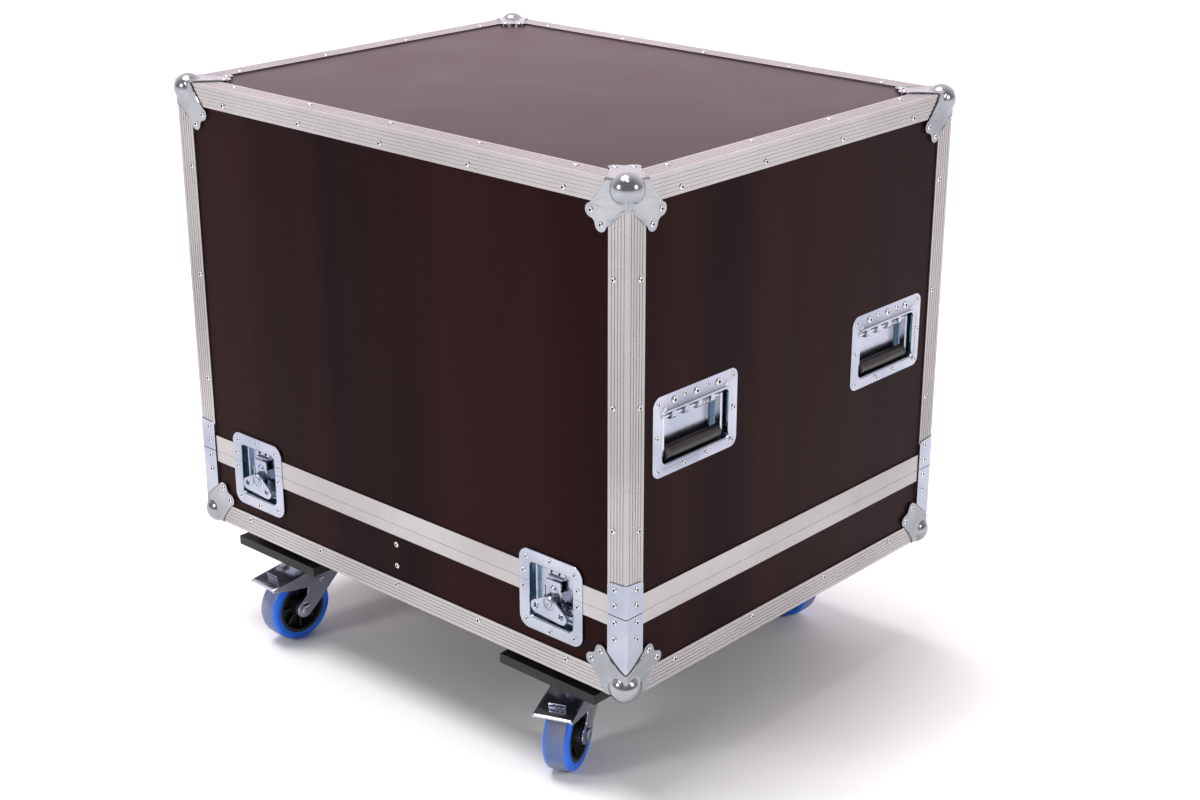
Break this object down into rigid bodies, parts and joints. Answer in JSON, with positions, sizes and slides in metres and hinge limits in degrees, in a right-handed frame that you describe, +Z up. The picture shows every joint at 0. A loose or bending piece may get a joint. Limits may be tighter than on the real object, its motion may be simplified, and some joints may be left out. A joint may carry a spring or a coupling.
{
  "type": "equipment rack case",
  "caption": "Lift-off hood flight case on a shallow castor tray, with ball corners, butterfly latches and recessed spring handles.",
  "frame": {"origin": "on the floor, under the middle of the whole rest footprint from the front brake pedals to the rear ball corners; the case body itself is centred on X = 0 and on Y = +8 mm", "axes": "+Z up; -Y is the front, a long latched face; +X is the right end, a short face with two handles; X runs along the length of the case"},
  "size_m": [0.8348, 0.6806, 0.8135],
  "materials": {
    "panel_film": "semi-gloss brown phenolic film over birch plywood",
    "aluminium_profile": "satin anodised, finely grooved",
    "corner_steel": "zinc plated pressed steel",
    "zinc_hardware": "bright zinc plate with a blue tint",
    "fastener_steel": "zinc plated steel",
    "grip_rubber": "smooth black rubber",
    "castor_steel": "zinc plated pressed steel",
    "hub_plastic": "moulded black nylon",
    "blue_tyre": "blue elastic rubber, satin",
    "dark_board": "dark film-faced plywood",
    "birch_board": "plain plywood",
    "grey_foam": "dark grey open-cell foam"
  },
  "bodies": {
    "tray": {"tray_floor_panel": "panel_film", "tray_long_panels": "panel_film", "tray_end_panels": "panel_film", "tray_edge_profiles": "aluminium_profile", "tray_closing_profiles": "aluminium_profile", "tray_ball_corners": "corner_steel", "tray_corner_brackets": "zinc_hardware", "tray_latch_dishes": "zinc_hardware", "latch_base_plates": "zinc_hardware", "tray_divider": "birch_board", "tray_foam_pads": "grey_foam", "tray_fasteners": "fastener_steel", "castor_packers": "dark_board", "castor_boards": "dark_board", "castor_plates": "castor_steel", "swivel_balls": "fastener_steel", "castor_bolts": "fastener_steel"},
    "hood": {"hood_top_panel": "panel_film", "hood_long_panels": "panel_film", "hood_end_panels": "panel_film", "hood_edge_profiles": "aluminium_profile", "hood_closing_profiles": "aluminium_profile", "hood_ball_corners": "corner_steel", "hood_corner_brackets": "zinc_hardware", "hood_latch_dishes": "zinc_hardware", "latch_keepers": "zinc_hardware", "handle_dishes": "zinc_hardware", "handle_springs": "fastener_steel", "hood_fasteners": "fastener_steel", "hood_foam_pad": "grey_foam"},
    "wing_1": {"latch_wing_1": "zinc_hardware"},
    "hook_1": {"latch_hook_1": "zinc_hardware"},
    "wing_2": {"latch_wing_2": "zinc_hardware"},
    "hook_2": {"latch_hook_2": "zinc_hardware"},
    "wing_3": {"latch_wing_3": "zinc_hardware"},
    "hook_3": {"latch_hook_3": "zinc_hardware"},
    "wing_4": {"latch_wing_4": "zinc_hardware"},
    "hook_4": {"latch_hook_4": "zinc_hardware"},
    "handle_1": {"handle_bail_1": "fastener_steel", "handle_grip_1": "grip_rubber"},
    "handle_2": {"handle_bail_2": "fastener_steel", "handle_grip_2": "grip_rubber"},
    "handle_3": {"handle_bail_3": "fastener_steel", "handle_grip_3": "grip_rubber"},
    "handle_4": {"handle_bail_4": "fastener_steel", "handle_grip_4": "grip_rubber"},
    "castor_1": {"castor_fork_1": "castor_steel"},
    "wheel_1": {"wheel_hub_1": "hub_plastic", "wheel_tyre_1": "blue_tyre"},
    "castor_2": {"castor_fork_2": "castor_steel"},
    "wheel_2": {"wheel_hub_2": "hub_plastic", "wheel_tyre_2": "blue_tyre"},
    "castor_3": {"castor_fork_3": "castor_steel"},
    "wheel_3": {"wheel_hub_3": "hub_plastic", "wheel_tyre_3": "blue_tyre"},
    "castor_4": {"castor_fork_4": "castor_steel"},
    "wheel_4": {"wheel_hub_4": "hub_plastic", "wheel_tyre_4": "blue_tyre"},
    "pedal_1": {"brake_pedal_1": "castor_steel"},
    "pedal_2": {"brake_pedal_2": "castor_steel"}
  },
  "joints": [
    {"name": "hood_lift", "type": "slide", "parent": "tray", "child": "hood", "axis": [0, 0, 1], "range_m": [0, 0.6]},
    {"name": "wing_turn_1", "type": "hinge", "parent": "tray", "child": "wing_1", "pos_m": [-0.285, -0.316, 0.2508], "axis": [0, -1, 0], "range_deg": [0, 180]},
    {"name": "hook_slide_1", "type": "slide", "parent": "tray", "child": "hook_1", "axis": [0, 0, 1], "range_m": [0, 0.008]},
    {"name": "wing_turn_2", "type": "hinge", "parent": "tray", "child": "wing_2", "pos_m": [0.285, -0.316, 0.2508], "axis": [0, -1, 0], "range_deg": [0, 180]},
    {"name": "hook_slide_2", "type": "slide", "parent": "tray", "child": "hook_2", "axis": [0, 0, 1], "range_m": [0, 0.008]},
    {"name": "wing_turn_3", "type": "hinge", "parent": "tray", "child": "wing_3", "pos_m": [0.285, 0.332, 0.2508], "axis": [0, 1, 0], "range_deg": [0, 180]},
    {"name": "hook_slide_3", "type": "slide", "parent": "tray", "child": "hook_3", "axis": [0, 0, 1], "range_m": [0, 0.008]},
    {"name": "wing_turn_4", "type": "hinge", "parent": "tray", "child": "wing_4", "pos_m": [-0.285, 0.332, 0.2508], "axis": [0, 1, 0], "range_deg": [0, 180]},
    {"name": "hook_slide_4", "type": "slide", "parent": "tray", "child": "hook_4", "axis": [0, 0, 1], "range_m": [0, 0.008]},
    {"name": "handle_swing_1", "type": "hinge", "parent": "hood", "child": "handle_1", "pos_m": [0.3987, -0.1905, 0.5055], "axis": [0, -1, 0], "range_deg": [0, 90], "stiffness_Nm_per_rad": 0.4},
    {"name": "handle_swing_2", "type": "hinge", "parent": "hood", "child": "handle_2", "pos_m": [0.3987, 0.2065, 0.5055], "axis": [0, -1, 0], "range_deg": [0, 90], "stiffness_Nm_per_rad": 0.4},
    {"name": "handle_swing_3", "type": "hinge", "parent": "hood", "child": "handle_3", "pos_m": [-0.3987, 0.2065, 0.5055], "axis": [0, 1, 0], "range_deg": [0, 90], "stiffness_Nm_per_rad": 0.4},
    {"name": "handle_swing_4", "type": "hinge", "parent": "hood", "child": "handle_4", "pos_m": [-0.3987, -0.1905, 0.5055], "axis": [0, 1, 0], "range_deg": [0, 90], "stiffness_Nm_per_rad": 0.4},
    {"name": "castor_swivel_1", "type": "hinge", "parent": "tray", "child": "castor_1", "pos_m": [-0.262, -0.24, 0.12], "axis": [0, 0, 1], "continuous": true},
    {"name": "wheel_roll_1", "type": "hinge", "parent": "castor_1", "child": "wheel_1", "pos_m": [-0.2642, -0.28194, 0.05], "axis": [0.9986, -0.0523, 0], "continuous": true},
    {"name": "pedal_press_1", "type": "hinge", "parent": "castor_1", "child": "pedal_1", "pos_m": [-0.26258, -0.25099, 0.0874], "axis": [0.9986, -0.0523, 0], "range_deg": [0, 6]},
    {"name": "castor_swivel_2", "type": "hinge", "parent": "tray", "child": "castor_2", "pos_m": [0.262, -0.24, 0.12], "axis": [0, 0, 1], "continuous": true},
    {"name": "wheel_roll_2", "type": "hinge", "parent": "castor_2", "child": "wheel_2", "pos_m": [0.27773, -0.27894, 0.05], "axis": [0.9272, 0.3746, 0], "continuous": true},
    {"name": "pedal_press_2", "type": "hinge", "parent": "castor_2", "child": "pedal_2", "pos_m": [0.26612, -0.2502, 0.0874], "axis": [0.9272, 0.3746, 0], "range_deg": [0, 6]},
    {"name": "castor_swivel_3", "type": "hinge", "parent": "tray", "child": "castor_3", "pos_m": [0.262, 0.256, 0.12], "axis": [0, 0, 1], "continuous": true},
    {"name": "wheel_roll_3", "type": "hinge", "parent": "castor_3", "child": "wheel_3", "pos_m": [0.22, 0.256, 0.05], "axis": [0, -1, 0], "continuous": true},
    {"name": "castor_swivel_4", "type": "hinge", "parent": "tray", "child": "castor_4", "pos_m": [-0.262, 0.256, 0.12], "axis": [0, 0, 1], "continuous": true},
    {"name": "wheel_roll_4", "type": "hinge", "parent": "castor_4", "child": "wheel_4", "pos_m": [-0.22, 0.256, 0.05], "axis": [0, 1, 0], "continuous": true}
  ],
  "couplings": [
    {"joint": "hook_slide_1", "follows": "wing_turn_1", "m_per_rad": 0.002546},
    {"joint": "hook_slide_2", "follows": "wing_turn_2", "m_per_rad": 0.002546},
    {"joint": "hook_slide_3", "follows": "wing_turn_3", "m_per_rad": 0.002546},
    {"joint": "hook_slide_4", "follows": "wing_turn_4", "m_per_rad": 0.002546}
  ]
}
